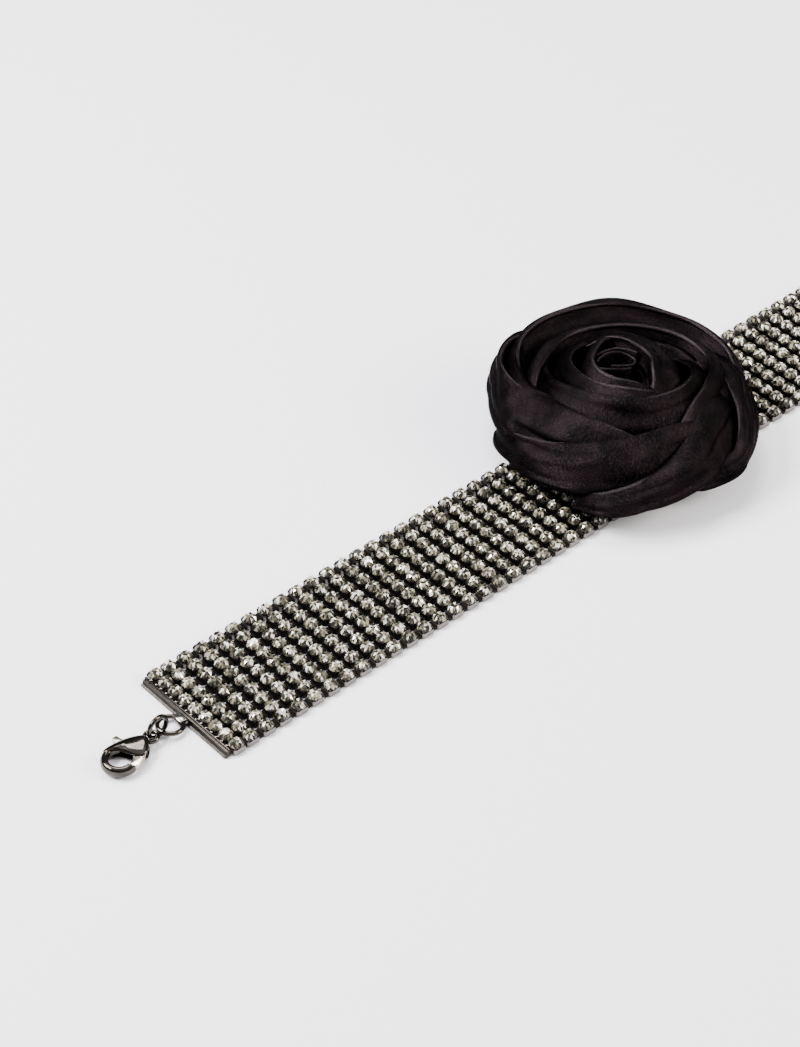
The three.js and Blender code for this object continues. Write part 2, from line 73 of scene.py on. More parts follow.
def makePiece(name, points, faceSets, smooth=True, uv=None, faceValue=None, merge=False):
    # points in mm; faceSets are index arrays of triangles, quads or longer faces
    mesh = bpy.data.meshes.new(name)
    faces = [face for faceSet in faceSets for face in np.asarray(faceSet).tolist()]
    mesh.from_pydata((np.asarray(points) * mm).tolist(), [], faces)
    corners = np.zeros(len(mesh.loops), np.int32)
    mesh.loops.foreach_get("vertex_index", corners)
    if uv is not None:
        layer = mesh.uv_layers.new(name="cloth")
        layer.data.foreach_set("uv", np.asarray(uv, np.float32)[corners].ravel())
    if faceValue is not None:
        sizes = np.zeros(len(mesh.polygons), np.int32)
        mesh.polygons.foreach_get("loop_total", sizes)
        facet = mesh.attributes.new("facet", "FLOAT", "CORNER")
        facet.data.foreach_set("value", np.repeat(np.asarray(faceValue, np.float32), sizes))
    mesh.polygons.foreach_set("use_smooth", np.full(len(mesh.polygons), smooth))
    mesh.validate()
    if merge:
        shell = bmesh.new()
        shell.from_mesh(mesh)
        bmesh.ops.remove_doubles(shell, verts=shell.verts, dist=1e-6)
        bmesh.ops.recalc_face_normals(shell, faces=shell.faces)
        shell.to_mesh(mesh)
        shell.free()
    piece = bpy.data.objects.new(name, mesh)
    bpy.context.scene.collection.objects.link(piece)
    return piece


def repeated(template, faceSets, moves, turns=None):
    # the template's points turned and moved to every place at once: p' = turn . p + move
    count, size = len(moves), len(template)
    if turns is None:
        points = template[None] + moves[:, None]
    else:
        points = np.einsum("nij,vj->nvi", turns, template) + moves[:, None]
    step = (np.arange(count) * size)[:, None, None]
    return points.reshape(-1, 3), [
        (np.asarray(f)[None] + step).reshape(-1, np.asarray(f).shape[1]) for f in faceSets]


def smoothPath(knots, perSpan, closed=False):
    # centripetal Catmull-Rom curve through the knots, all spans at once
    knots = np.asarray(knots, float)
    if closed:
        padded = np.vstack([knots[-1:], knots, knots[:2]])
    else:
        padded = np.vstack([2 * knots[:1] - knots[1:2], knots, 2 * knots[-1:] - knots[-2:-1]])
    p0, p1, p2, p3 = padded[:-3], padded[1:-2], padded[2:-1], padded[3:]
    gapOf = lambda a, b: np.maximum(np.sqrt(np.linalg.norm((b - a)[:, :3], axis=1)), 1e-6)[:, None]
    d0, d1, d2 = gapOf(p0, p1), gapOf(p1, p2), gapOf(p2, p3)
    t1 = ((p1 - p0) / d0 - (p2 - p0) / (d0 + d1) + (p2 - p1) / d1) * d1
    t2 = ((p2 - p1) / d1 - (p3 - p1) / (d1 + d2) + (p3 - p2) / d2) * d1
    t = (np.arange(perSpan) / perSpan)[None, :, None]
    curve = (p1[:, None] + t1[:, None] * t + (-3 * p1 + 3 * p2 - 2 * t1 - t2)[:, None] * t ** 2
             + (2 * p1 - 2 * p2 + t1 + t2)[:, None] * t ** 3)
    curve = curve.reshape(-1, knots.shape[1])
    return curve if closed else np.vstack([curve, knots[-1:]])


def capEnds(sections, around):
    # the first section as a face turned round, and the last one as a face
    return np.array([np.arange(around)[::-1], (sections - 1) * around + np.arange(around)])


# Materials

def addNoise(nodes, links, where, scale, detail=None):
    noise = nodes.new("ShaderNodeTexNoise")
    noise.inputs["Scale"].default_value = scale
    if detail is not None:
        noise.inputs["Detail"].default_value = detail
    links.new(where, noise.inputs["Vector"])
    return noise.outputs["Fac"]


def addMath(nodes, links, value, operation, factor, added=None):
    node = nodes.new("ShaderNodeMath")
    node.operation = operation
    node.inputs[1].default_value = factor
    links.new(value, node.inputs[0])
    if added is not None:
        links.new(added, node.inputs[2])
    return node.outputs[0]


def addMapRange(nodes, links, value, ends):
    node = nodes.new("ShaderNodeMapRange")
    for end, number in ends.items():
        node.inputs[end].default_value = number
    links.new(value, node.inputs["Value"])
    return node.outputs["Result"]


def addColourMix(nodes, links, share, first, second):
    # first is a socket and second a colour
    mix = nodes.new("ShaderNodeMix")
    mix.data_type = "RGBA"
    links.new(share, mix.inputs["Factor"])
    links.new(first, mix.inputs[6])
    mix.inputs[7].default_value = (*second, 1)
    return mix.outputs[2]


def addTwoTones(nodes, links, value, low, high):
    # low and high are (place on the ramp, colour)
    ramp = nodes.new("ShaderNodeValToRGB")
    for element, (place, colour) in zip(ramp.color_ramp.elements, (low, high)):
        element.position = place
        element.color = (*colour, 1)
    links.new(value, ramp.inputs["Fac"])
    return ramp.outputs["Color"]


def addBump(nodes, links, shader, height, strength, distance):
    bump = nodes.new("ShaderNodeBump")
    bump.inputs["Strength"].default_value = strength
    bump.inputs["Distance"].default_value = distance
    links.new(height, bump.inputs["Height"])
    links.new(bump.outputs["Normal"], shader.inputs["Normal"])


def facetValue(nodes):
    # the value that makePiece gives each face
    facet = nodes.new("ShaderNodeAttribute")
    facet.attribute_name = "facet"
    return facet.outputs["Fac"]


def newMaterial(name):
    material = bpy.data.materials.new(name)
    material.use_nodes = True
    nodes, links = material.node_tree.nodes, material.node_tree.links
    return material, nodes, links, nodes["Principled BSDF"]


def makeGunmetal(name, tone, roughness, paintedLightTone=None):
    # dark plated metal: cloudy tone, slightly uneven polish and fine scratches; where a lighter tone
    # is given, faces with a painted light value take that tone as painted light
    material, nodes, links, shader = newMaterial(name)
    where = nodes.new("ShaderNodeTexCoord").outputs["Object"]
    cloud = addNoise(nodes, links, where, metal["cloudScale"], 3)
    colour = addTwoTones(nodes, links, cloud, *[(place, [tone * part for part in parts])
                                                for place, parts in metal["tones"]])
    # painted light: faces given a value are mixed towards the lighter tone, the same metal drawn as if lit
    if paintedLightTone is not None:
        colour = addColourMix(nodes, links, facetValue(nodes), colour,
                              [paintedLightTone * part for part in metal["paintedLightTint"]])
    links.new(colour, shader.inputs["Base Color"])
    polish = addMapRange(nodes, links, cloud, {"To Min": roughness * metal["polish"][0],
                                               "To Max": roughness * metal["polish"][1]})
    links.new(polish, shader.inputs["Roughness"])
    scratch = addNoise(nodes, links, where, metal["scratchScale"])
    addBump(nodes, links, shader, scratch, metal["scratchStrength"], metal["scratchDepth"])
    shader.inputs["Metallic"].default_value = 1.0
    return material


def makeStonePaintedLight():
    # foil-backed clear stone drawn with painted reflections: each facet is painted its own patch of reflected
    # light, from near black to white
    material, nodes, links, shader = newMaterial("stonePaintedLight")
    facet = facetValue(nodes)
    where = nodes.new("ShaderNodeTexCoord").outputs["Object"]
    streak = addNoise(nodes, links, where, glass["streakScale"], 2)
    light = addMath(nodes, links, streak, "MULTIPLY_ADD", glass["streakShare"], facet)
    ramp = nodes.new("ShaderNodeValToRGB")
    while len(ramp.color_ramp.elements) < len(glass["stops"]):
        ramp.color_ramp.elements.new(0.5)
    for element, (place, colour) in zip(ramp.color_ramp.elements, glass["stops"]):
        element.position = min(place / glass["rampTop"], 1)
        element.color = (*colour, 1)
    links.new(addMath(nodes, links, light, "MULTIPLY", 1 / glass["rampTop"]), ramp.inputs["Fac"])
    links.new(ramp.outputs["Color"], shader.inputs["Base Color"])
    shader.inputs["Metallic"].default_value = 0.25
    shader.inputs["Roughness"].default_value = 0.12
    shader.inputs["Coat Weight"].default_value = 1.0
    shader.inputs["Coat Roughness"].default_value = 0.05
    return material


def makeSatin():
    # black satin: gloss with a wine tinge, a fine slanting grain of threads, a few of them painted
    # paler as a painted glint, and a painted highlight along the rolled edges
    material, nodes, links, shader = newMaterial("blackSatin")
    uv = nodes.new("ShaderNodeUVMap")
    uv.uv_map = "cloth"
    stretch = nodes.new("ShaderNodeMapping")
    stretch.inputs["Rotation"].default_value = (0, 0, math.radians(45))
    stretch.inputs["Scale"].default_value = (1, 3, 1)
    links.new(uv.outputs["UV"], stretch.inputs["Vector"])
    thread = addNoise(nodes, links, stretch.outputs["Vector"], satin["threadScale"], 2)
    cloud = addNoise(nodes, links, uv.outputs["UV"], satin["cloudScale"], 3)
    addBump(nodes, links, shader, thread, satin["threadBump"], satin["threadDepth"])
    tint = addTwoTones(nodes, links, cloud, (0.35, satin["dark"]), (0.7, satin["wine"]))
    # painted glint: the threads where the noise is highest take a paler colour
    speck = addMapRange(nodes, links, thread, {"From Min": satin["speck"][0],
                                               "From Max": satin["speck"][1]})
    cloth = addColourMix(nodes, links, speck, tint, satin["glint"])
    # painted highlight: faces round the rolled edges are mixed towards a paler colour
    paintedRimLight = addMath(nodes, links, facetValue(nodes), "MULTIPLY", satin["paintedRimLightShare"])
    links.new(addColourMix(nodes, links, paintedRimLight, cloth, satin["paintedRimLight"]), shader.inputs["Base Color"])
    gloss = addMapRange(nodes, links, thread, {"To Min": satin["roughness"] - satin["uneven"],
                                               "To Max": satin["roughness"] + satin["uneven"]})
    links.new(gloss, shader.inputs["Roughness"])
    shader.inputs["Specular IOR Level"].default_value = satin["specular"]
    shader.inputs["Metallic"].default_value = satin["metallic"]
    shader.inputs["Specular Tint"].default_value = (*satin["edge"], 1)
    return material


def makeFloorFinish(tone):
    material, _, _, shader = newMaterial("paleFloor")
    shader.inputs["Base Color"].default_value = (*tone, 1)
    shader.inputs["Roughness"].default_value = 0.6
    shader.inputs["Specular IOR Level"].default_value = 0.25
    return material


metal = {
    "cloudScale": 700, "scratchScale": 3500, "scratchStrength": 0.12, "scratchDepth": 0.00004,
    "tones": [(0.3, (0.7, 0.61, 0.52)), (0.72, (1.25, 1.11, 0.96))],     # place on the ramp, share
    # the tint of the lighter tone used as painted light
    "paintedLightTint": (1, 0.92, 0.85), "polish": (0.7, 1.5),
}
# stone colours: a ramp of painted reflected light from near black to white, with a streak of noise added
glass = {
    "streakScale": 2300, "streakShare": 0.6, "rampTop": 1.2,
    "stops": [(0.28, (0.004, 0.0035, 0.003)), (0.46, (0.034, 0.03, 0.021)), (0.68, (0.16, 0.141, 0.095)),
              (0.92, (0.44, 0.4, 0.29)), (1.1, (0.95, 0.92, 0.83))],
}
satin = {
    # dark and wine are the cloth's own colours; glint is a painted highlight on a few threads
    "dark": (0.003, 0.0027, 0.0029), "wine": (0.0112, 0.0077, 0.0087), "glint": (0.07, 0.056, 0.061),
    # painted highlight along the rolled edges: its colour and its share
    "paintedRimLight": (0.06, 0.048, 0.052), "paintedRimLightShare": 0.3,
    "metallic": 0.9, "roughness": 0.25, "uneven": 0.12, "specular": 0.05, "edge": (0.16, 0.125, 0.14),
    "threadScale": 4.0, "threadBump": 0.8, "threadDepth": 0.00016,
    "cloudScale": 0.22, "speck": (0.6, 0.78),
}
# cup metal: near black as painted shade between the stones; its lighter tone is painted light on the edge
# cups' outer walls and the claws
cupMetal = makeGunmetal("cupMetal", 0.005, 0.4, paintedLightTone=0.2)
# bar metal: its lighter tone is a painted highlight on the teeth and the tab
barMetal = makeGunmetal("barMetal", 0.038, 0.16, paintedLightTone=0.26)
claspMetal = makeGunmetal("claspMetal", 0.058, 0.07)
gateMetal = makeGunmetal("gateMetal", 0.5, 0.14)
stonePaintedLight = makeStonePaintedLight()
satinFinish = makeSatin()
print("materials made")


# Stones, cups, claws and links, in rows

band = {
    "rows": 9, "columns": 88,
    "rowPitch": 2.6, "columnPitch": 3.4, "endColumnShift": 0.65,   # mm
    "seed": 7,
}
stone = {
    "radius": 1.27, "shoulderRadius": 1.04, "tableRadius": 0.64,
    "girdle": 1.36, "shoulder": 1.82, "table": 2.16, "culet": 0.6,
    "tilt": 4.0,                           # degrees
    # brightness levels of the painted reflections on the facets, and how often each comes
    "patches": [0.0, 0.14, 0.32, 0.56, 0.85], "patchShares": [0.26, 0.22, 0.24, 0.17, 0.11],
}
cup = {
    "halfWidth": 1.225, "corner": 0.3, "wall": 0.13,
    "bottom": 0.06, "top": 1.24, "floor": 0.6,
    "clawTop": 1.78, "clawWidth": 0.3, "clawReach": 1.0,
}
link = {"halfWidth": 0.9, "low": 0.25, "high": 0.72}


def rowMiddles():
    return (np.arange(band["rows"]) - (band["rows"] - 1) / 2) * band["rowPitch"]


def stonePlaces():
    # centre of every stone: column i at (i - (columns-1)/2) pitches, row j likewise; the end columns
    # stand closer
    x = (np.arange(band["columns"]) - (band["columns"] - 1) / 2) * band["columnPitch"]
    x[[0, -1]] += np.array([1, -1]) * band["endColumnShift"]
    y = rowMiddles()
    gx, gy = np.meshgrid(x, y, indexing="ij")
    return np.stack([gx.ravel(), gy.ravel(), np.zeros(gx.size)], axis=1)


def makeStones(places):
    # round cut: a fan on the eight-sided table, eight stars, a ring of eight kites' shoulders, a
    # sixteen-sided girdle and a cone to the culet; ring point k at angle a is (r cos a, r sin a, z)
    rng = np.random.default_rng(band["seed"])
    ring = lambda turn, r, z: np.stack([r * np.cos(turn), r * np.sin(turn), np.full(turn.size, z)], 1)
    eighth = np.arange(8) * math.pi / 4
    template = np.concatenate([
        [[0, 0, stone["table"]]],
        ring(eighth, stone["tableRadius"], stone["table"]),
        ring(eighth + math.pi / 8, stone["shoulderRadius"], stone["shoulder"]),
        ring(np.arange(16) * math.pi / 8, stone["radius"], stone["girdle"]),
        [[0, 0, stone["culet"]]]])
    k = np.arange(8)
    table, shoulder, girdle, culet = 1, 9, 17, 33
    nextK, lastK = (k + 1) % 8, (k - 1) % 8
    g = lambda n: girdle + n % 16
    fan = np.stack([np.zeros(8, int), table + k, table + nextK], 1)
    star = np.stack([table + k, shoulder + k, table + nextK], 1)
    kite = np.stack([table + k, shoulder + lastK, g(2 * k)], 1)
    kiteTwin = np.stack([table + k, g(2 * k), shoulder + k], 1)
    left = np.stack([shoulder + k, g(2 * k), g(2 * k + 1)], 1)
    right = np.stack([shoulder + k, g(2 * k + 1), g(2 * k + 2)], 1)
    n = np.arange(16)
    under = np.stack([g(n), np.full(16, culet), g(n + 1)], 1)
    faces = np.concatenate([fan, star, kite, kiteTwin, left, right, under])
    count = len(places)
    spin = rng.uniform(0, 2 * math.pi, count)
    leanX, leanY = rng.normal(0, math.radians(stone["tilt"]) / 2, (2, count))
    c, s, one, zero = np.cos(spin), np.sin(spin), np.ones(count), np.zeros(count)
    turn = np.stack([np.stack([c, -s, zero], 1), np.stack([s, c, zero], 1),
                     np.stack([zero, zero, one], 1)], 1)
    lean = np.stack([np.stack([one, zero, leanY], 1), np.stack([zero, one, -leanX], 1),
                     np.stack([-leanY, leanX, one], 1)], 1)
    middle = np.array([0, 0, stone["girdle"]])
    points, faceSets = repeated(template - middle, [faces], places + middle, lean @ turn)
    # painted reflections: each facet's brightness is drawn at random from the patch levels, with a small
    # random shift
    patch = rng.choice(stone["patches"], size=(count, len(faces)), p=stone["patchShares"])
    # painted shade: the girdle facets are drawn darker
    patch[:, 32:48] *= 0.6                        # the facets at the girdle are darker
    patch = patch + rng.uniform(-0.05, 0.1, patch.shape) + rng.uniform(-0.06, 0.06, (count, 1))
    return makePiece("stones", points, faceSets, smooth=False, faceValue=patch.ravel())


def cupOutline(inset):
    # square with cut corners, counter-clockwise; inset moves every side inwards
    h, c = cup["halfWidth"] - inset, cup["corner"]
    return np.array([[h, -h + c], [h, h - c], [h - c, h], [-h + c, h],
                     [-h, h - c], [-h, -h + c], [-h + c, -h], [h - c, -h]])


def makeCups(places):
    # one cup: rings of the outline from the underside up the wall, over its edge and down inside;
    # four claws lean in from the corners; a flat link runs to the next cup along the row
    def level(inset, z):
        outline = cupOutline(inset)
        return np.column_stack([outline, np.full(8, z)])
    rings = [level(0.1, cup["bottom"]), level(0, cup["bottom"] + 0.12), level(0, cup["top"] - 0.05),
             level(0.05, cup["top"]), level(cup["wall"], cup["top"] - 0.06),
             level(cup["wall"] + 0.1, cup["floor"])]
    template = np.concatenate(rings)
    walls = gridFaces(len(rings), 8, closeColumns=True)[:, ::-1]
    caps = capEnds(len(rings), 8)

    corner = np.arange(4) * math.pi / 2 + math.pi / 4
    outward = np.stack([np.cos(corner), np.sin(corner)], 1)
    sideways = np.stack([-np.sin(corner), np.cos(corner)], 1)
    half = cup["clawWidth"] / 2
    reach = math.hypot(cup["halfWidth"], cup["halfWidth"] - cup["corner"]) - 0.12
    # claw sections: distance out at the outer and inner side, half width, height
    sections = [(reach, reach - 0.3, half, 0.9), (reach - 0.03, reach - 0.32, half, cup["top"] + 0.2),
                (cup["clawReach"] + 0.18, cup["clawReach"] - 0.12, half * 0.8, cup["clawTop"]),
                (cup["clawReach"] - 0.04, cup["clawReach"] - 0.24, half * 0.5, cup["clawTop"] - 0.03)]
    claw = []
    for outer, inner, w, z in sections:
        for distance, side in [(outer, -w), (outer, w), (inner, w), (inner, -w)]:
            xy = outward * distance + sideways * side
            claw.append(np.column_stack([xy, np.full(4, z)]))
    claws = np.stack(claw, 1)                     # claw, section point, xyz
    clawQuads = gridFaces(len(sections), 4, closeColumns=True)[:, ::-1]
    clawTip = np.array([np.arange(4) + 4 * (len(sections) - 1), [3, 2, 1, 0]])
    clawPoints = claws.reshape(-1, 3)
    offset = (np.arange(4) * claws.shape[1])[:, None, None] + len(template)
    clawFaces = (np.concatenate([clawQuads, clawTip])[None] + offset).reshape(-1, 4)
    template = np.concatenate([template, clawPoints])
    points, faceSets = repeated(template, [walls, caps, clawFaces], places)

    # links: a box with a hump between neighbours, one fewer than the columns in each row
    x0, x1 = cup["halfWidth"] - 0.25, band["columnPitch"] - cup["halfWidth"] + 0.25
    across = np.array([-1, -0.8, 0.8, 1]) * link["halfWidth"]
    high = np.array([link["high"] - 0.15, link["high"], link["high"], link["high"] - 0.15])
    top = np.stack([np.column_stack([np.full(4, x), across, high]) for x in (x0, x1)])
    low = top.copy()
    low[:, :, 2] = link["low"]
    section = np.concatenate([top, low[:, ::-1]], axis=1)       # 2 stations of 8 points
    notLast = places[:, 0] < places[:, 0].max() - 0.1
    linkPoints, linkSets = repeated(section.reshape(-1, 3),
                                    [gridFaces(2, 8, closeColumns=True), capEnds(2, 8)], places[notLast])
    linkSets = [f + len(points) for f in linkSets]
    # seams: short bars that join a cup to the one beside it in the next row
    side = np.array([[-0.5, 0], [0.5, 0], [0.5, 1], [-0.5, 1]])
    y0, y1 = cup["halfWidth"] - 0.1, band["rowPitch"] - cup["halfWidth"] + 0.1
    seam = np.concatenate([np.column_stack([side[:, 0] * 1.3, np.full(4, y), 0.45 + side[:, 1] * 0.5])
                           for y in (y0, y1)])
    seamFaces = gridFaces(2, 4, closeColumns=True)[:, ::-1]
    seamCaps = np.array([[3, 2, 1, 0], [4, 5, 6, 7]])
    notTop = places[:, 1] < places[:, 1].max() - 0.1
    seamPoints, seamSets = repeated(seam, [seamFaces, seamCaps], places[notTop])
    seamSets = [f + len(points) + len(linkPoints) for f in seamSets]
    # painted light and shade on one metal: the metal between the stones keeps the near black tone as painted
    # shade, the outer walls of the edge cups take the lighter tone as painted light, and the claws part of it
    # as a painted glint
    paintedLight = [np.zeros(len(f)) for f in faceSets + linkSets + seamSets]
    litEdgeCup = ((np.abs(places[:, 1]) > np.abs(places[:, 1]).max() - 0.1)
               | (np.abs(places[:, 0]) > np.abs(places[:, 0]).max() - 0.1))
    paintedLight[0] = (litEdgeCup[:, None] * (np.arange(len(walls)) < 16)[None]).astype(float).ravel()
    paintedLight[2] = np.full(len(paintedLight[2]), 0.35)
    return makePiece("cups", np.concatenate([points, linkPoints, seamPoints]),
                     faceSets + linkSets + seamSets, smooth=False, faceValue=np.concatenate(paintedLight))


places = stonePlaces()
stones = makeStones(places)
stones.data.materials.append(stonePaintedLight)
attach(stones, "root")
cups = makeCups(places)
cups.data.materials.append(cupMetal)
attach(cups, "root")
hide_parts("band")
print("band made:", len(places), "stones,", len(cups.data.polygons), "faces of metal")


# Clasp, rings and end bars

clasp = {
    "origin": (-154.587, 0.0), "turn": 187.7, "eyeAt": 1.892,     # mm and degrees, as in the frame
    "middle": 1.3,
    "hook": (6.93, -0.05), "hole": 1.9, "wall": 1.27, "hookSteps": 76,
    "hookStart": 226, "noseInner": 443.5, "noseOuter": 456.5,      # degrees round the hook's hole
    "pin": (2.55, 0.55), "pinRadius": 0.4,
    "slotLow": 0.6, "slotHigh": 2.0, "domeRise": 0.66, "capEdge": 0.04,
    # outline of the crowned cap: back side from the eye to its tapered tip, then the curved lower border
    "cap": [(0.95, 0.25), (0.98, -0.4), (1.5, -1.0), (2.4, -1.72), (3.8, -2.42), (5.3, -2.86), (6.6, -3.14),
            (7.7, -3.02), (7.9, -2.55), (7.0, -1.98), (6.2, -1.4), (5.75, -0.6), (5.45, 0.25), (5.1, 1.15),
            (4.6, 1.95), (3.9, 2.42), (3.1, 2.35), (2.1, 1.7), (1.35, 0.95)],
    "ridge": ((1.9, -0.2), (4.6, -1.25)),
    "gate": [(3.0, 0.05), (4.3, 0.6), (5.1, 1.05), (6.0, 1.72), (6.82, 2.12), (6.7, 2.6), (6.34, 3.12),
             (5.5, 3.1), (4.4, 2.75), (3.4, 2.2), (2.6, 1.42)],
    "arm": [(2.2, 0.3), (3.4, -2.4), (3.68, -3.1), (3.7, -3.95), (3.84, -4.1), (4.62, -4.1), (4.76, -3.95),
            (4.7, -2.6), (3.2, 0.2)],
    "leverLow": 0.75, "leverHigh": 1.86,
}
wire = {
    "jump": {"centre": (-152.41, 0.0, 1.005), "radius": 2.1, "thick": 0.41, "lean": 5.5},
    "link": {"at": 0.33, "high": 2.3, "radius": 1.95, "thick": 0.4},      # at: mm from the clasp's origin
    "closing": {"centre": (153.21, 0.0, 0.795), "radius": 2.975, "thick": 0.325},
    "eye": {"radius": 1.14, "thick": 0.36},
}
bar = {
    "bandSide": 148.78, "length": 21.95,
    # folded strip seen from its end: distance out from the band side, height
    "profile": [(0.0, 0.0), (0.0, 0.7), (0.0, 1.32), (0.1, 1.46), (0.24, 1.48), (0.34, 1.36), (0.36, 1.16),
                (0.44, 1.1), (0.54, 1.2), (0.66, 1.18), (0.74, 1.02), (0.8, 0.86), (0.9, 0.72), (0.92, 0.5),
                (1.0, 0.38), (1.2, 0.32), (1.26, 0.16), (1.2, 0.02), (0.6, 0.0)],
    "toothWidth": 0.34, "toothSpread": 0.62,
    "tooth": [(0.14, 1.4), (0.1, 1.5), (-0.12, 1.52), (-0.36, 1.4), (-0.42, 1.1), (-0.3, 1.05),
              (-0.22, 1.32), (0.0, 1.36)],
    "tabWidth": 2.1, "tabThick": 0.28, "tabHole": 0.45,
    "tabCentre": 1.45, "tabSlack": 0.36, "tabHeight": 0.795,
}


def toClaspPlace(points):
    # the clasp's own frame, x from eye to nose, turned and moved to its place in the necklace
    turn = math.radians(clasp["turn"])
    c, s = math.cos(turn), math.sin(turn)
    x = points[:, 0] + clasp["eyeAt"]
    y = points[:, 1]
    return np.column_stack([clasp["origin"][0] + c * x - s * y, clasp["origin"][1] + s * x + c * y,
                            points[:, 2]])


def ringSurface(radius, thick, stations=72, around=20, flatten=1.0):
    # torus: centre line (R cos a, R sin a, 0), section (r cos b outwards, r sin b up)
    a = np.linspace(0, 2 * math.pi, stations, endpoint=False)[:, None]
    b = np.linspace(0, 2 * math.pi, around, endpoint=False)[None, :]
    out = radius + thick * np.cos(b)
    points = np.stack([out * np.cos(a), out * np.sin(a), thick * flatten * np.sin(b) + 0 * a], 2)
    return points.reshape(-1, 3), gridFaces(stations, around, True, True)


def crownedPlate(outline, ridge, flat, crown):
    # plate with a crowned face: p(t, u) = ridge(t) + u (outline(t) - ridge(t)) and its height runs
    # from flat + crown over the ridge to flat at the outline as (1 - u^2.4)^0.62; the other face is flat
    a, b = np.array(ridge[0]), np.array(ridge[1])
    along = np.clip(((outline - a) @ (b - a)) / ((b - a) @ (b - a)), 0, 1)
    middle = a + along[:, None] * (b - a)
    u = np.sin(np.linspace(0, math.pi / 2, 16))[:, None, None]
    top = middle[None] + u * (outline - middle)[None]
    rise = (1 - u[:, :, 0] ** 2.4) ** 0.62 * crown + flat
    upper = np.concatenate([top, np.broadcast_to(rise, top.shape[:2])[..., None]], 2)
    inner = top[::-5]
    behind = flat - clasp["capEdge"] * np.sign(crown)
    lower = np.concatenate([inner, np.full((len(inner), len(outline), 1), behind)], 2)
    points = np.concatenate([upper, lower])
    return points.reshape(-1, 3), gridFaces(len(points), len(outline), closeColumns=True)


def bevelledPlate(outline, low, high, bevel):
    # outline swept from low to high with a rounded edge; each ring is the outline moved in by an inset
    before, after = np.roll(outline, 1, axis=0), np.roll(outline, -1, axis=0)
    along = (after - before) / np.linalg.norm(after - before, axis=1, keepdims=True)
    inward = np.column_stack([-along[:, 1], along[:, 0]])
    area = 0.5 * np.sum(outline[:, 0] * after[:, 1] - after[:, 0] * outline[:, 1])
    inward *= np.sign(area)
    bend = np.linspace(0, math.pi / 2, 5)
    inset = np.concatenate([bevel * (1 - np.sin(bend)), bevel * (1 - np.cos(bend))])
    z = np.concatenate([low + bevel * (1 - np.cos(bend)), high - bevel * (1 - np.sin(bend))])
    n = len(outline)
    rings = np.stack([np.column_stack([outline + inward * i, np.full(n, h)]) for i, h in zip(inset, z)])
    return rings.reshape(-1, 3), gridFaces(len(rings), n, closeColumns=True), capEnds(len(rings), n)


def joinShapes(name, shapes, place=None, paintedLight=None):
    # shapes are (points, faceSet, faceSet...) tuples put into one mesh; the last argument gives each shape a
    # painted light value
    points, faceSets, start = [], [], 0
    for shapePoints, *sets in shapes:
        points.append(shapePoints)
        faceSets += [np.asarray(f) + start for f in sets]
        start += len(shapePoints)
    whole = np.concatenate(points)
    if paintedLight is not None:
        paintedLight = np.concatenate([np.full(sum(len(f) for f in sets), value)
                                for (_, *sets), value in zip(shapes, paintedLight)])
    return makePiece(name, place(whole) if place else whole, faceSets, faceValue=paintedLight, merge=True)


def makeClaspBody():
    # hook: a bevelled section carried round the hole from under the cap to the nose
    section = smoothPath([(0.0, 0.72), (0.0, 1.85), (0.14, 2.12), (0.5, 2.24), (0.92, 2.12), (1.2, 1.72),
                          (1.27, 1.2), (1.16, 0.68), (0.8, 0.4), (0.3, 0.42)], 3, closed=True)
    share = np.linspace(0, 1, clasp["hookSteps"])[:, None]
    slant = clasp["noseOuter"] - clasp["noseInner"]
    last = clasp["noseInner"] + slant * section[None, :, 0] / clasp["wall"]
    turn = np.radians(clasp["hookStart"] + share * (last - clasp["hookStart"]))
    swell = 1 + 0.1 * np.exp(-((share - 1) / 0.05) ** 2)
    r = clasp["hole"] + section[None, :, 0]
    hookPoints = np.stack([clasp["hook"][0] + r * np.cos(turn), clasp["hook"][1] + r * np.sin(turn),
                           clasp["middle"] + (section[None, :, 1] - clasp["middle"]) * swell], 2)
    around = len(section)
    hookFaces = gridFaces(clasp["hookSteps"], around, closeColumns=True)
    hookCaps = capEnds(clasp["hookSteps"], around)
    # cap: two crowned plates with the lever's slot between them
    outline = smoothPath(clasp["cap"], 6, closed=True)
    top = crownedPlate(outline, clasp["ridge"], clasp["slotHigh"], clasp["domeRise"])
    low = crownedPlate(outline, clasp["ridge"], clasp["slotLow"], -clasp["slotLow"])
    # neck: an oval tube from the eye to the cap, half widths (y, z) at each x
    stations = np.array([(0.9, 0.42, 0.36), (1.1, 0.5, 0.5), (1.35, 0.75, 0.8), (1.55, 0.95, 0.9)])
    b = np.linspace(0, 2 * math.pi, 24, endpoint=False)[None, :]
    neck = np.stack([stations[:, :1] + 0 * b, stations[:, 1:2] * np.cos(b),
                     clasp["middle"] + stations[:, 2:] * np.sin(b)], 2).reshape(-1, 3)
    eye, eyeFaces = ringSurface(wire["eye"]["radius"], wire["eye"]["thick"], 48, 16, 1.25)
    pin, pinFaces = ringSurface(clasp["pinRadius"] * 0.5, clasp["pinRadius"] * 0.5, 20, 8, 3.6)
    pin = pin + [*clasp["pin"], 0]
    lift = np.array([0, 0, clasp["middle"]])
    return joinShapes("claspBody", [
        (hookPoints.reshape(-1, 3), hookFaces, hookCaps), top, low,
        (neck, gridFaces(4, 24, closeColumns=True), capEnds(4, 24)),
        (eye + lift, eyeFaces), (pin + lift, pinFaces)], toClaspPlace)


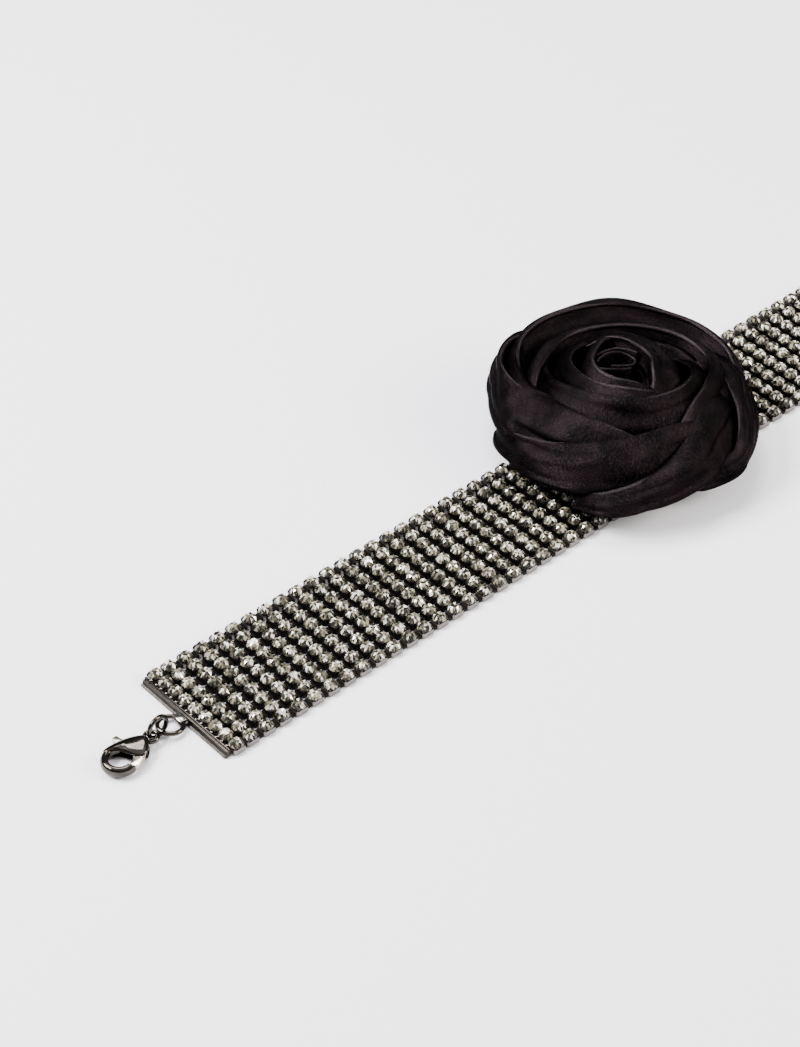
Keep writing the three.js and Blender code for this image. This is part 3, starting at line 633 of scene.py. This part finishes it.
def makeClaspLever():
    # gate, pivot ear and thumb arm, each an outline with rounded edges
    low, high = clasp["leverLow"], clasp["leverHigh"]
    gate = bevelledPlate(smoothPath(clasp["gate"], 4, closed=True), low, high, 0.16)
    arm = bevelledPlate(smoothPath(clasp["arm"], 4, closed=True), low + 0.05, high - 0.04, 0.14)
    a = np.linspace(0, 2 * math.pi, 28, endpoint=False)
    ear = np.column_stack([clasp["pin"][0] + 0.88 * np.cos(a), clasp["pin"][1] + 0.88 * np.sin(a)])
    ear = bevelledPlate(ear, low + 0.02, high - 0.02, 0.1)
    return joinShapes("claspLever", [gate, arm, ear], toClaspPlace)


def makeWireRing(name, spec, turns):
    points, faces = ringSurface(spec["radius"], spec["thick"])
    points = points @ turns.T
    return makePiece(name, points + np.array(spec["centre"]), [faces])


def tiltY(degrees):
    c, s = math.cos(math.radians(degrees)), math.sin(math.radians(degrees))
    return np.array([[c, 0, s], [0, 1, 0], [-s, 0, c]])


def makeEndBar(name, side):
    # the folded profile carried across the band, its ends drawn in a little, with a tooth at each cup
    # and a tab rolled round the ring; side is -1 at the clasp end and +1 at the plain end
    profile = smoothPath(bar["profile"], 3, closed=True)
    half = bar["length"] / 2
    y = np.array([-half, -half + 0.04, -half + 0.14, half - 0.14, half - 0.04, half])
    shrink = np.array([0.86, 0.96, 1, 1, 0.96, 0.86])[:, None]
    centre = profile.mean(axis=0)
    section = centre + (profile[None] - centre) * shrink[..., None]
    strip = np.stack([section[..., 0], np.broadcast_to(y[:, None], section.shape[:2]), section[..., 1]], 2)
    n = len(profile)
    shapes = [(strip.reshape(-1, 3), gridFaces(6, n, closeColumns=True), capEnds(6, n))]
    # teeth: small bent strips from the bar's top edge down between the claws of the first cups
    w = bar["toothWidth"] / 2
    bend = np.array(bar["tooth"])
    tooth = np.concatenate([np.column_stack([bend[:, 0], np.full(8, v), bend[:, 1]]) for v in (-w, w)])
    spots = np.concatenate([rowMiddles() - bar["toothSpread"], rowMiddles() + bar["toothSpread"]])
    spots = spots[np.abs(spots) < half - 0.3]
    moves = np.column_stack([np.zeros(len(spots)), spots, np.zeros(len(spots))])
    toothPoints, toothSets = repeated(tooth, [gridFaces(2, 8, closeColumns=True), capEnds(2, 8)], moves)
    shapes.append((toothPoints, *toothSets))
    # tab: a flat strip rolled round an oval hole, section (distance out, height)
    a = np.linspace(0, 2 * math.pi, 40, endpoint=False)
    shift = np.where(np.cos(a) > 0, bar["tabSlack"], 0.0)
    hole = np.column_stack([bar["tabCentre"] + shift, np.full(len(a), bar["tabHeight"])])
    circle = np.column_stack([np.cos(a), np.sin(a)])
    inner = hole + bar["tabHole"] * circle
    outer = hole + (bar["tabHole"] + bar["tabThick"]) * circle
    drawnIn = outer - (outer - inner) * 0.15
    tabHalf = bar["tabWidth"] / 2
    edge = 0.06
    loops = [(outer, -tabHalf + edge), (outer, tabHalf - edge), (drawnIn, tabHalf),
             (inner, tabHalf), (inner, -tabHalf), (drawnIn, -tabHalf)]
    tab = np.stack([np.column_stack([xz[:, 0], np.full(40, v), xz[:, 1]]) for xz, v in loops]).reshape(-1, 3)
    shapes.append((tab, gridFaces(6, 40, True, True)))
    place = lambda p: np.column_stack([side * (bar["bandSide"] + p[:, 0]), side * p[:, 1], p[:, 2]])
    # painted highlight: the teeth and the tab take the bar metal's lighter tone, the bar itself its dark one
    return joinShapes(name, shapes, place, paintedLight=[0, 1, 1])


def dress(piece, finish, body, node):
    piece.data.materials.append(finish)
    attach(piece, body)
    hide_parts(node)


dress(makeClaspBody(), claspMetal, "root", "clasp_body")
dress(makeClaspLever(), gateMetal, "lever", "clasp_lever")
dress(makeWireRing("jumpRing", wire["jump"], tiltY(wire["jump"]["lean"])), claspMetal, "root", "jump_ring")
linkTurn = math.radians(clasp["turn"])
linkCos, linkSin = math.cos(linkTurn), math.sin(linkTurn)
linkUp = np.array([[linkCos, 0, linkSin], [linkSin, 0, -linkCos], [0, 1, 0]])
linkCentre = (clasp["origin"][0] + wire["link"]["at"] * linkCos, wire["link"]["at"] * linkSin,
              wire["link"]["high"])
linkRing = makeWireRing("linkRing", {**wire["link"], "centre": linkCentre}, linkUp)
dress(linkRing, claspMetal, "root", "link_ring")
dress(makeWireRing("closingRing", wire["closing"], np.eye(3)), claspMetal, "root", "closing_ring")
dress(makeEndBar("endBarClasp", -1), barMetal, "root", "end_bar_clasp")
dress(makeEndBar("endBarPlain", 1), barMetal, "root", "end_bar_plain")
print("clasp, rings and end bars made")


# Satin rose: folds of one rolled strip

rose = {
    "diameter": 47.0, "height": 18.4, "centre": (-48.7, 1.2), "floor": 2.3,
    "backing": 34.0, "backingThickness": 1.4,
    "wall": 1.3, "rim": 0.9, "undercut": 4.5,
    "stepsPerRow": 9,
    "waveDepth": 0.4, "ridgeDepth": 0.7,
    "ridges": [(0.24, 0.3, 0.085), (0.5, -0.15, 0.1)],   # start, lean, width as shares
    "fall": [(0, 0), (0.2, 0.025), (0.45, 0.1), (0.66, 0.2), (0.82, 0.3), (0.94, 0.43), (1.0, 0.58)],
    "liningWall": 0.5, "clothStep": 60.0, "backingCloth": 500,
    "linings": {"back": (5.0, 4.6), "left": (3.0, 3.6), "ring": (2.8, 4.0), "innerFront": (1.4, 3.0),
                "innerLeft": (1.5, 3.2), "lip": (1.3, 3.2), "cone": (1.6, 4.0)},      # mm inwards, mm down
}
# turn in degrees, then edge radius, edge height and reach as shares of the rose's half width and height
folds = {
    "left": [(84, 0.86, 0.5, 0.94), (98, 1.0, 0.64, 1.03), (110, 1.03, 0.67, 1.05),
             (122, 0.99, 0.66, 1.03), (138, 0.84, 0.67, 0.965), (155, 0.66, 0.71, 0.87),
             (191, 0.59, 0.77, 0.79), (227, 0.65, 0.71, 0.77), (240, 0.72, 0.58, 0.8)],
    "front": [(134, 0.85, 0.14, 0.88), (147, 0.925, 0.31, 0.945), (160, 0.92, 0.42, 0.965),
              (184, 0.82, 0.56, 0.955), (199, 0.74, 0.63, 0.925), (223, 0.67, 0.7, 0.845),
              (247, 0.63, 0.74, 0.8), (270, 0.65, 0.72, 0.78), (284, 0.72, 0.6, 0.8)],
    "frontRight": [(202, 0.9, 0.18, 0.875), (216, 0.94, 0.32, 0.935), (229, 0.91, 0.42, 0.945),
                   (241, 0.86, 0.51, 0.955), (257, 0.76, 0.62, 0.925), (275, 0.66, 0.71, 0.865),
                   (298, 0.62, 0.72, 0.84), (312, 0.63, 0.64, 0.82), (326, 0.65, 0.54, 0.8)],
    "right": [(262, 0.7, 0.16, 0.74), (274, 0.84, 0.3, 0.87), (286, 0.92, 0.4, 0.955),
              (305, 0.84, 0.54, 0.955), (321, 0.77, 0.6, 0.955), (341, 0.72, 0.65, 0.95),
              (360, 0.69, 0.66, 0.86), (376, 0.71, 0.58, 0.84)],
    "back": [(-30, 0.86, 0.24, 0.93), (-12, 0.94, 0.55, 1.02), (9, 0.94, 0.65, 1.04),
             (28, 0.92, 0.7, 1.03), (50, 0.92, 0.75, 1.04), (70, 0.92, 0.76, 1.04),
             (88, 0.97, 0.71, 1.05), (102, 0.96, 0.66, 1.02), (115, 0.89, 0.64, 0.97),
             (130, 0.8, 0.66, 0.92), (145, 0.7, 0.69, 0.86), (158, 0.6, 0.72, 0.8)],
    "ring": [(248, 0.72, 0.54, 0.8), (264, 0.62, 0.71, 0.74), (283, 0.56, 0.79, 0.7),
             (306, 0.57, 0.79, 0.7), (336, 0.66, 0.75, 0.78), (366, 0.65, 0.77, 0.8),
             (397, 0.6, 0.8, 0.78), (430, 0.61, 0.8, 0.78), (455, 0.67, 0.76, 0.8),
             (479, 0.68, 0.7, 0.78), (497, 0.7, 0.64, 0.78), (513, 0.7, 0.54, 0.77)],
    "innerFront": [(104, 0.7, 0.56, 0.74), (124, 0.63, 0.68, 0.7), (141, 0.56, 0.75, 0.68),
                   (155, 0.5, 0.81, 0.64), (182, 0.43, 0.88, 0.56), (213, 0.4, 0.91, 0.54),
                   (238, 0.41, 0.9, 0.55), (280, 0.43, 0.89, 0.56), (300, 0.45, 0.86, 0.57),
                   (320, 0.48, 0.8, 0.59), (342, 0.51, 0.71, 0.6), (364, 0.53, 0.6, 0.61)],
    "innerLeft": [(66, 0.54, 0.6, 0.62), (80, 0.52, 0.74, 0.61), (107, 0.48, 0.82, 0.58),
                  (128, 0.44, 0.85, 0.54), (160, 0.36, 0.89, 0.46), (187, 0.32, 0.92, 0.42),
                  (223, 0.31, 0.94, 0.41), (250, 0.34, 0.91, 0.43), (268, 0.38, 0.84, 0.47),
                  (284, 0.42, 0.74, 0.5)],
    "lip": [(58, 0.4, 0.76, 0.48), (76, 0.35, 0.92, 0.44), (113, 0.28, 0.98, 0.39),
            (141, 0.28, 0.98, 0.38), (170, 0.27, 0.98, 0.37), (197, 0.26, 0.98, 0.36),
            (232, 0.26, 0.96, 0.36), (258, 0.31, 0.89, 0.39), (276, 0.36, 0.78, 0.44)],
    "cone": [(-122, 0.38, 0.74, 0.46), (-98, 0.29, 0.91, 0.42), (-68, 0.18, 0.98, 0.42),
             (-32, 0.16, 0.98, 0.42), (22, 0.18, 0.98, 0.43), (54, 0.29, 0.95, 0.47),
             (72, 0.4, 0.88, 0.53), (88, 0.48, 0.76, 0.58)],
}
core = {
    "wall": 0.55, "turn": 114, "shift": 2.2, "height": 0.94, "sway": 0.35, "lieAlong": -41.5,
    # the last value on the next line is the strength of the painted highlight along the rounded tops
    "stepsPerKnot": 10, "paintedRimLight": 0.6,
    "strips": [                            # mm along and across it
        [(2.1, -2.4), (0.1, -2.8), (-2.3, -2.7), (-3.8, -2.1), (-4.6, -0.7), (-4.2, 1.2), (-2.9, 2.6),
         (-0.7, 3.7), (1.4, 3.4), (3.6, 1.9)],
        [(-3.7, -0.7), (-3.0, 0.6), (-1.2, 1.9), (0.6, 2.0), (2.3, 1.1), (3.0, 0.1), (2.5, -0.8),
         (0.6, -1.0), (-1.3, -1.0)]],
}


def foldPath(rows):
    # the fold's edge as a smooth path, the directions out of it and the length along it
    turn, radius, height, reach = np.array(rows, float).T
    turn = np.radians(turn)
    half = rose["diameter"] / 2
    knots = np.column_stack([radius * half * np.cos(turn), radius * half * np.sin(turn),
                             rose["floor"] + height * rose["height"], reach * half])
    path = smoothPath(knots, rose["stepsPerRow"])
    edge = path[:, :3]
    along = np.gradient(edge, axis=0)
    flat = np.hypot(along[:, 0], along[:, 1])
    s = np.concatenate([[0], np.cumsum(np.linalg.norm(np.diff(edge, axis=0), axis=1))])[:, None]
    return edge, path[:, 3], along[:, 1] / flat, -along[:, 0] / flat, s


def clothStrip(edge, nx, ny, profile, wall, s, side=1):
    # profile (out, height) from the edge to the foot, given a thickness with a round edge:
    # lower side, half a circle about the first point, upper side; side is -1 where it runs inwards
    slope = np.gradient(profile, axis=1)
    slope /= np.linalg.norm(slope, axis=2, keepdims=True)
    normal = np.stack([-slope[..., 1], slope[..., 0]], 2) * side
    upper, lower = profile + normal * wall, profile - normal * wall
    bend = np.linspace(-math.pi / 2, math.pi / 2, 7)[None, 1:-1, None]
    cap = profile[:, :1] + (normal[:, :1] * np.sin(bend) - slope[:, :1] * np.cos(bend)) * wall[:, :1]
    section = np.concatenate([lower[:, ::-1], cap, upper], 1)
    section[..., 1] = np.maximum(section[..., 1], rose["floor"])
    points = np.stack([edge[:, None, 0] + nx[:, None] * section[..., 0],
                       edge[:, None, 1] + ny[:, None] * section[..., 0], section[..., 1]], 2)
    stations, around = points.shape[:2]
    acrossLength = np.concatenate([np.zeros((stations, 1)), np.cumsum(
        np.linalg.norm(np.diff(points, axis=1), axis=2), axis=1)], 1)
    uv = np.stack([np.broadcast_to(s, (stations, around)), acrossLength], 2)
    quads = gridFaces(stations, around, closeColumns=True)
    # painted highlight: the faces round the rolled edge are marked for the paler colour
    paintedRimLight = (np.abs(np.arange(len(quads)) % around - profile.shape[1] - 2) <= 1).astype(float)
    return points.reshape(-1, 3), quads, capEnds(stations, around), uv.reshape(-1, 2), paintedRimLight


def creaseHeight(s, v, phase):
    # long soft waves that run along the strip, and a few narrow ridges that cross it slantwise
    wave = (np.sin(s / 5.2 + 3.1 * v + phase) + 0.6 * np.sin(s / 2.7 - 5.0 * v + 2.1 * phase)
            + 0.35 * np.sin(s / 9.0 + 9 * v + 0.7 * phase))
    share = s / s[-1]
    ridge = 0
    for k, (start, lean, width) in enumerate(rose["ridges"]):
        middle = (start + 0.13 * math.sin(2.3 * phase + k)) + (lean + 0.1 * math.cos(phase + 2 * k)) * share
        ridge = ridge + np.exp(-((v - middle) / width) ** 2) * np.sin(math.pi * share) * (1 if k % 2 else -1)
    return wave * rose["waveDepth"] + ridge * rose["ridgeDepth"]


def makeFoldSurface(rows, phase):
    # the strip's edge runs along the knots; from it the cloth goes outwards by out(v) and down by
    # drop(v), v = 0 at the edge and 1 at the foot
    edge, reachHere, nx, ny, s = foldPath(rows)
    dot = edge[:, 0] * nx + edge[:, 1] * ny
    toCircle = lambda r: -dot + np.sqrt(np.maximum(0, dot ** 2 + r ** 2 - edge[:, 0] ** 2 - edge[:, 1] ** 2))
    out = np.maximum(rose["wall"], toCircle(reachHere))
    drop = edge[:, 2] - rose["floor"]
    footZ = rose["floor"] + rose["backingThickness"] / 2
    foot = np.maximum(np.minimum(out - rose["undercut"] / 2, toCircle(rose["backing"] / 2 - rose["wall"])),
                      -rose["undercut"])
    line = np.stack([np.stack([o * out, edge[:, 2] - d * drop], 1) for o, d in rose["fall"]]
                    + [np.stack([foot, np.full_like(out, footZ)], 1)], 1)          # station, knot, (out, z)
    fine = np.linspace(0, line.shape[1] - 1, 40)
    low = np.minimum(fine.astype(int), line.shape[1] - 2)
    part = (fine - low)[None, :, None]
    before = line[:, np.maximum(low - 1, 0)]
    a, b = line[:, low], line[:, low + 1]
    after = line[:, np.minimum(low + 2, line.shape[1] - 1)]
    profile = 0.5 * (2 * a + (b - before) * part + (2 * before - 5 * a + 4 * b - after) * part ** 2
                     + (3 * a - before - 3 * b + after) * part ** 3)
    slope = np.gradient(profile, axis=1)
    slope /= np.linalg.norm(slope, axis=2, keepdims=True)
    normal = np.stack([-slope[..., 1], slope[..., 0]], 2)            # towards the upper, outer side
    v = np.linspace(0, 1, profile.shape[1])[None, :]
    fade = np.sin(np.pi * v) ** 0.8 * np.clip(np.minimum(s, s[-1] - s) / 5.0, 0, 1)
    profile = profile + normal * (creaseHeight(s, v, phase) * fade)[..., None]
    endShare = np.clip(np.minimum(s, s[-1] - s) / 4.0, 0, 1)
    wall = (rose["rim"] + (rose["wall"] - rose["rim"]) * np.clip(v * 4, 0, 1))[..., None] / 2
    return clothStrip(edge, nx, ny, profile, wall * (0.35 + 0.65 * endShare[..., None]), s)


def makeLining(rows, inset, fall, phase):
    # the cloth inside a fold: from its edge it goes inwards by inset t and down by fall (1 - (1 - t)^1.8)
    edge, _, nx, ny, s = foldPath(rows)
    t = np.linspace(0, 1, 14)[None, :]
    ends = np.clip(np.minimum(s, s[-1] - s) / 6.0, 0, 1)
    inwards = 0.25 - inset * t * (0.4 + 0.6 * ends)
    down = 0.12 + fall * (1 - (1 - t) ** 1.8)
    puff = creaseHeight(s, t, phase) * np.sin(np.pi * t) * ends * 0.9
    profile = np.stack([inwards + 0 * s, edge[:, 2:] - down + puff], 2)
    return clothStrip(edge, nx, ny, profile, np.full(profile.shape[:2] + (1,), rose["liningWall"] / 2), s, -1)


def makeCore(knots):
    # upright wall along the knots, rounded on top
    along, across = smoothPath(knots, core["stepsPerKnot"]).T
    shift = np.radians(core["turn"])
    lie = math.radians(core["lieAlong"])
    x = core["shift"] * math.cos(shift) + along * math.cos(lie) - across * math.sin(lie)
    y = core["shift"] * math.sin(shift) + along * math.sin(lie) + across * math.cos(lie)
    s = np.concatenate([[0], np.cumsum(np.hypot(np.diff(x), np.diff(y)))])
    tx, ty = np.gradient(x), np.gradient(y)
    size = np.hypot(tx, ty)
    nx, ny = ty / size, -tx / size
    top = rose["floor"] + core["height"] * rose["height"] - 0.5 * core["wall"]
    low = rose["floor"] + rose["backingThickness"] / 2
    bend = np.linspace(0, math.pi, 9)
    side = np.concatenate([[1], np.cos(bend), [-1]]) * core["wall"] / 2
    z = np.concatenate([[low], top + np.sin(bend) * core["wall"] / 2, [low]])
    sway = core["sway"] * np.sin(s / 3 + 0.6)[:, None] * (z > low + 1)
    points = np.stack([x[:, None] + nx[:, None] * side, y[:, None] + ny[:, None] * side,
                       z[None] + sway], 2)
    stations, around = points.shape[:2]
    acrossLength = np.concatenate([[0], np.cumsum(np.hypot(np.diff(side), np.diff(z)))])
    uv = np.stack(np.broadcast_arrays(s[:, None], acrossLength[None]), 2)
    quads = gridFaces(stations, around, closeColumns=True)
    # painted highlight: the faces over the rounded top are marked for the paler colour
    paintedRimLight = (np.abs(np.arange(len(quads)) % around - 4.5) <= 2) * core["paintedRimLight"]
    return points.reshape(-1, 3), quads, capEnds(stations, around), uv.reshape(-1, 2), paintedRimLight


def makeRose():
    # every strip has its own stretch of the cloth's pattern, clothStep apart
    parts = [makeFoldSurface(rows, 1.7 * k + 0.4) for k, rows in enumerate(folds.values())]
    parts += [makeCore(knots) for knots in core["strips"]]
    parts += [makeLining(folds[name], inset, fall, 2.1 * k + 1)
              for k, (name, (inset, fall)) in enumerate(rose["linings"].items())]
    points, uvs, faceSets, paintedRimLights, start = [], [], [], [], 0
    for piecePoints, quads, ends, uv, paintedRimLight in parts:
        points.append(piecePoints)
        uvs.append(uv + [0, rose["clothStep"] * len(uvs)])
        faceSets += [quads + start, ends + start]
        paintedRimLights += [paintedRimLight, np.zeros(len(ends))]
        start += len(piecePoints)
    # backing: a round felt disc with a soft edge, profile (radius, height) turned round
    r = rose["backing"] / 2
    t = rose["backingThickness"]
    profile = np.array([(0.001, 0), (r - 0.4, 0), (r, 0.3), (r, t - 0.3), (r - 0.4, t), (0.001, t)])
    turn = np.linspace(0, 2 * math.pi, 64, endpoint=False)
    disc = np.stack([profile[:, 0][None] * np.cos(turn)[:, None], profile[:, 0][None] * np.sin(turn)[:, None],
                     np.broadcast_to(profile[:, 1] + rose["floor"], (64, 6))], 2).reshape(-1, 3)
    points.append(disc)
    uvs.append(disc[:, :2] + rose["backingCloth"])
    faceSets.append(gridFaces(64, 6, closeRows=True) + start)
    faceSets.append(np.array([np.arange(64)[::-1] * 6 + start, np.arange(64) * 6 + 5 + start]))
    allPoints = np.concatenate(points) + [*rose["centre"], 0]
    paintedRimLights += [np.zeros(len(faces)) for faces in faceSets[-2:]]
    return makePiece("satinRose", allPoints, faceSets, smooth=True, uv=np.concatenate(uvs),
                     faceValue=np.concatenate(paintedRimLights))


satinRose = makeRose()
satinRose.data.materials.append(satinFinish)
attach(satinRose, "root")
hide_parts("rose")
print("rose made:", len(satinRose.data.polygons), "faces")


# Floor and lights

studio = {
    "floorTone": (0.93, 0.93, 0.985),
    "floorSize": 6000.0,
    "world": 1.12,
    "skyLevels": [(0.2, 0.45), (0.45, 0.15), (0.75, 0.26), (0.85, 1.15)],   # height of the direction, level
}


def makeFloor():
    # a flat sheet at z = 0 with a gentle grid, large enough for every view
    side = np.linspace(-0.5, 0.5, 9) * studio["floorSize"]
    gx, gy = np.meshgrid(side, side, indexing="ij")
    points = np.stack([gx.ravel(), gy.ravel(), np.full(gx.size, -0.02)], 1)
    floor = makePiece("floor", points, [gridFaces(9, 9)])
    floor.data.materials.append(makeFloorFinish(studio["floorTone"]))
    return floor


def addLight(name, place, target, size, power, colour=(1, 1, 1)):
    # square softbox at place, facing target, both in mm
    data = bpy.data.lights.new(name, "AREA")
    data.shape = "RECTANGLE"
    data.size, data.size_y = size[0] * mm, size[1] * mm
    data.energy = power
    data.color = colour
    lamp = bpy.data.objects.new(name, data)
    lamp.location = Vector(place) * mm
    lamp.rotation_euler = (Vector(target) - Vector(place)).to_track_quat("-Z", "Y").to_euler()
    bpy.context.scene.collection.objects.link(lamp)


floor = makeFloor()
world = bpy.data.worlds.new("studio")
world.use_nodes = True
sky = world.node_tree.nodes
skyWhere = sky.new("ShaderNodeTexCoord")
skySplit = sky.new("ShaderNodeSeparateXYZ")
skyRamp = sky.new("ShaderNodeValToRGB")
world.node_tree.links.new(skyWhere.outputs["Generated"], skySplit.inputs["Vector"])
world.node_tree.links.new(skySplit.outputs["Z"], skyRamp.inputs["Fac"])
world.node_tree.links.new(skyRamp.outputs["Color"], sky["Background"].inputs["Color"])
skyRamp.color_ramp.elements[0].position = 0.0
skyRamp.color_ramp.elements[0].color = (0.5, 0.5, 0.53, 1)
skyRamp.color_ramp.elements[1].position = 0.9
skyRamp.color_ramp.elements[1].color = (1.42, 1.42, 1.5, 1)
for height, level in studio["skyLevels"]:
    stop = skyRamp.color_ramp.elements.new(height)
    stop.color = (level, level, level * 1.05, 1)
sky["Background"].inputs["Strength"].default_value = studio["world"]
bpy.context.scene.world = world
middle = (-94, 11, 0)
addLight("keyBox", (-420, 330, 520), middle, (300, 300), 11)
addLight("fillBox", (260, -420, 380), middle, (300, 300), 6.5, (1.0, 0.94, 0.86))
addLight("sparkBox", (-480, 130, 420), middle, (90, 90), 1.6)
addLight("topBox", (60, 260, 620), middle, (260, 260), 4)
print("floor and lights set")
